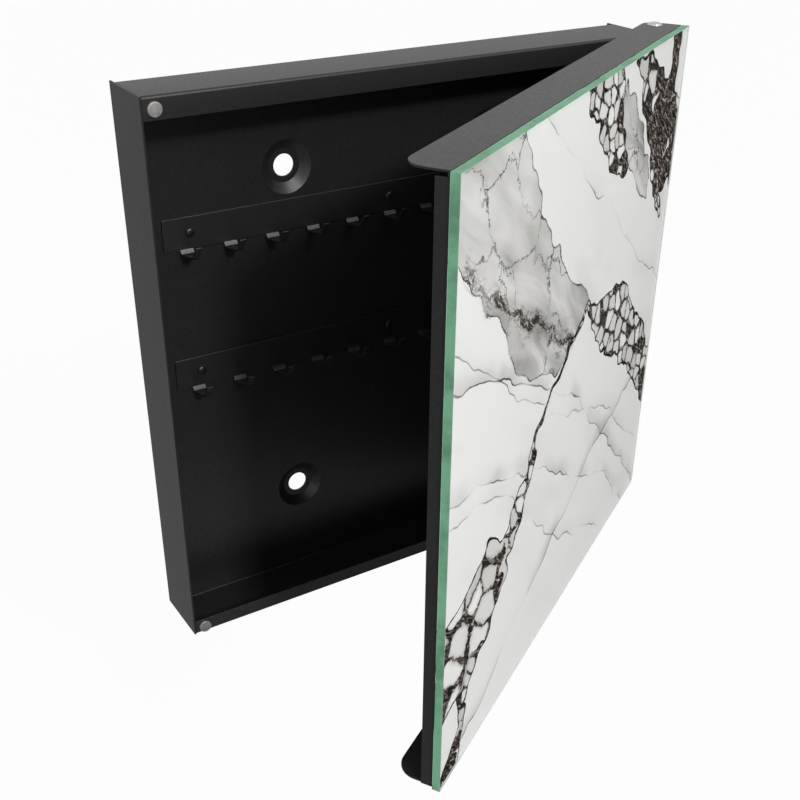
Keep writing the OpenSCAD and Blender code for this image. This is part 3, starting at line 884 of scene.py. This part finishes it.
class KEYBOX_OT_print_film(bpy.types.Operator):
    """Makes the marble-printed film on the back of the glass"""
    bl_idname = "keybox.print_film"
    bl_label = "Printed film"
    # The film stands a hair behind the glass so that the two faces don't share a plane.
    hair = 0.03 * MM
    # Spacing of the points that hold the marble's fields
    step = 2.0 * MM

    def execute(self, context):
        box = context.scene.key_box
        low, high = door_span("printed_film")
        width, height = high[0] - low[0], high[2] - low[2]
        across, down = round(width / self.step), round(height / self.step)
        verts, points = [], []
        for out in (high[1] - self.hair, low[1]):
            for j in range(down + 1):
                for i in range(across + 1):
                    right, drop = width * i / across, height * j / down
                    verts.append(door_point(high[0] - right, out, high[2] - drop))
                    points.append((right / MM, drop / MM))
        row = across + 1
        sheet = row * (down + 1)
        faces = []
        for j in range(down):
            for i in range(across):
                a = j * row + i
                faces.append((a, a + row, a + row + 1, a + 1))
                faces.append((sheet + a, sheet + a + 1, sheet + a + row + 1, sheet + a + row))
        rim = list(range(row)) + [j * row + across for j in range(1, down + 1)]
        rim += [down * row + i for i in range(across - 1, -1, -1)] + [j * row for j in range(down - 1, 0, -1)]
        for a, b in zip(rim, rim[1:] + rim[:1]):
            faces.append((a, b, sheet + b, sheet + a))
        mesh = bpy.data.meshes.new("printed_film_sheet")
        mesh.from_pydata([tuple(v) for v in verts], [], faces)
        for name, values in marble_fields(np.array(points)).items():
            field = mesh.attributes.new(name, "FLOAT_VECTOR", "POINT")
            field.data.foreach_set("vector", np.asarray(values, np.float32).ravel())
        mesh.update()
        finishes = [marble_print(box.colours.marble, box.colours.vein),
                    grained_finish("print_backing", MOULDED_PLASTIC, "#3a3a3a", 0.8, 0.6)]
        piece = finish_piece("printed_film_sheet", mesh, "door", "marble_print", finishes, "printed_film")
        for face in piece.data.polygons:
            face.material_index = 0 if face.normal.dot(DOOR_FRONT) > 0.9 else 1
        return {"FINISHED"}


class KEYBOX_OT_tapes(bpy.types.Operator):
    """Makes the four strips of mounting tape with their foam finish"""
    bl_idname = "keybox.tapes"
    bl_label = "Mounting tape"
    soft = 0.08 * MM

    def execute(self, context):
        foam = grained_finish("grey_foam_tape", MOULDED_PLASTIC, "#8b8b88", 0.35, 0.8)
        for side in ("left", "right", "upper", "lower"):
            node = f"{side}_glass_tape"
            mesh = round_edges(cad_copy(node), self.soft)
            finish_piece(node + "_strip", mesh, "door", "foam_tape", [foam], node)
        return {"FINISHED"}


class KEYBOX_OT_stage(bpy.types.Operator):
    """Sets the camera, the studio light and the pale floor"""
    bl_idname = "keybox.stage"
    bl_label = "Stage"
    # Camera: its lens and sensor in millimetres, the shift of its frame, its place in millimetres, and the
    # directions to its right, up and back
    lens_mm, sensor_mm = 52.183, 36.0
    shift = (-0.01337, 0.07357)
    eye_mm = (-326.39, -530.21, 266.87)
    axes = ((0.842644, -0.538335, 0.012099), (0.264095, 0.432755, 0.861961), (-0.469260, -0.723131, 0.506830))
    # Light of the surroundings in reflections of the front and of the back, and on matt surfaces
    sky_front, sky_back, sky_matt = 1.0, 0.68, 0.375
    # The floor's height and half its width in metres, and how white it is to the eye
    floor_height, floor_half, floor_white = -0.45, 4.0, 0.96
    # Lamps: place in metres, size in metres, watts; all face one place
    aim = (0, -0.05, 0)
    lamps = (("key", (-0.06, -4.83, 2.93), 0.61, 200.0), ("soft_top", (0.57, -2.18, 2.04), 0.45, 14.0))

    def camera(self, scene):
        lens = bpy.data.cameras.new("view")
        lens.lens, lens.sensor_width = self.lens_mm, self.sensor_mm
        lens.shift_x, lens.shift_y = self.shift
        lens.clip_start = 0.01
        eye = new_object("view", lens)
        turn = Matrix(self.axes).transposed().to_4x4()
        eye.matrix_world = Matrix.Translation(Vector(self.eye_mm) * MM) @ turn
        scene.camera = eye

    def world(self, scene):
        """White to the eye and in reflections of the front, dimmer in reflections of the back, and otherwise
        only a weak even light."""
        world = bpy.data.worlds.new("studio")
        world.use_nodes = True
        tree = world.node_tree
        tree.nodes.clear()
        path = add(tree, "ShaderNodeLightPath")
        way = add(tree, "ShaderNodeSeparateXYZ", (add(tree, "ShaderNodeTexCoord")["Generated"],))
        mirrored = add(tree, RANGE, (way["Y"], -0.4, 0.1, self.sky_front, self.sky_back))[0]
        level = add(tree, RANGE, (path["Is Glossy Ray"], 0.0, 1.0, 1.0, mirrored))[0]
        level = add(tree, RANGE, (path["Is Diffuse Ray"], 0.0, 1.0, level, self.sky_matt))[0]
        light = add(tree, "ShaderNodeBackground", ((1, 1, 1, 1), level))[0]
        add(tree, "ShaderNodeOutputWorld", (light,))
        scene.world = world

    def floor_finish(self):
        """Matt floor: white to the eye, with a trace of the shadow. In reflections it is pale in front, paler
        behind at the left, and dark at the right, where a flag keeps the glass clear."""
        material, tree = new_material("pale_floor")
        path = add(tree, "ShaderNodeLightPath")
        seen = add(tree, MATH, (path["Is Camera Ray"], path["Is Transmission Ray"]), operation="MAXIMUM")[0]
        seen = add(tree, MATH, (seen, self.floor_white), operation="MULTIPLY")[0]
        matt = add(tree, "ShaderNodeBsdfDiffuse", {"Color": linear("#d8d8d8")})[0]
        white = add(tree, "ShaderNodeEmission", ((1, 1, 1, 1), 1.0))[0]
        spot = add(tree, "ShaderNodeSeparateXYZ", (add(tree, "ShaderNodeTexCoord")["Object"],))
        slant = add(tree, MATH, (spot["X"], 0.35, spot["Y"]), operation="MULTIPLY_ADD")[0]
        right = add(tree, RANGE, (spot["X"], -0.05, 0.08))[0]
        flag = add(tree, RANGE, (slant, -0.3, -0.2, 0.0, right))[0]
        pale = add(tree, RANGE, (spot["Y"], -0.1, 0.4, 0.3, 0.4))[0]
        level = add(tree, RANGE, (flag, 0.0, 1.0, pale, 0.02))[0]
        dim = add(tree, "ShaderNodeEmission", ((1, 1, 1, 1), level))[0]
        floor = matt
        for share, other in ((seen, white), (path["Is Glossy Ray"], dim)):
            floor = add(tree, "ShaderNodeMixShader", (share, floor, other))[0]
        add(tree, "ShaderNodeOutputMaterial", (floor,))
        return material

    def execute(self, context):
        scene = context.scene
        scene.view_settings.view_transform = "Standard"
        self.camera(scene)
        self.world(scene)

        made = bmesh.new()
        bmesh.ops.create_grid(made, x_segments=8, y_segments=8, size=self.floor_half,
                              matrix=Matrix.Translation((0, 0, self.floor_height)))
        mesh = new_mesh("pale_floor", made)
        mesh.materials.append(self.floor_finish())
        floor = new_object("pale_floor", mesh)

        for name, place, size, watts in self.lamps:
            lamp = bpy.data.lights.new(name, "AREA")
            lamp.size, lamp.energy = size, watts
            turn = (Vector(place) - Vector(self.aim)).to_track_quat("Z", "Y").to_matrix().to_4x4()
            new_object(name, lamp).matrix_world = Matrix.Translation(place) @ turn
        return {"FINISHED"}


PIECES = (KEYBOX_OT_casing, KEYBOX_OT_hook_rails, KEYBOX_OT_rail_rivets, KEYBOX_OT_magnets, KEYBOX_OT_hinge,
          KEYBOX_OT_door_tray, KEYBOX_OT_glass, KEYBOX_OT_print_film, KEYBOX_OT_tapes, KEYBOX_OT_stage)


class KEYBOX_PT_sidebar(bpy.types.Panel):
    """Lists the key box's settings and pieces"""
    bl_idname = "KEYBOX_PT_sidebar"
    bl_label = "Key Box"
    bl_space_type = "VIEW_3D"
    bl_region_type = "UI"
    bl_category = "Key Box"

    def draw(self, context):
        box = context.scene.key_box
        for group in (box.sizes, box.colours):
            for name in group.__annotations__:
                self.layout.prop(group, name)
        for piece in PIECES:
            self.layout.operator(piece.bl_idname)


CLASSES = (KeyBoxSizes, KeyBoxColours, KeyBoxSettings, *PIECES, KEYBOX_PT_sidebar)


def register():
    for cls in CLASSES:
        bpy.utils.register_class(cls)
    bpy.types.Scene.key_box = bpy.props.PointerProperty(
        type=KeyBoxSettings, name="Key box", description="Settings of the wall key box")


def unregister():
    del bpy.types.Scene.key_box
    for cls in reversed(CLASSES):
        bpy.utils.unregister_class(cls)


def main():
    register()
    bpy.ops.keybox.stage()
    bpy.ops.keybox.casing()
    bpy.ops.keybox.hook_rails()
    bpy.ops.keybox.rail_rivets()
    bpy.ops.keybox.magnets()
    bpy.ops.keybox.hinge()
    bpy.ops.keybox.door_tray()
    bpy.ops.keybox.glass()
    bpy.ops.keybox.print_film()
    bpy.ops.keybox.tapes()


if __name__ == "__main__":
    main()
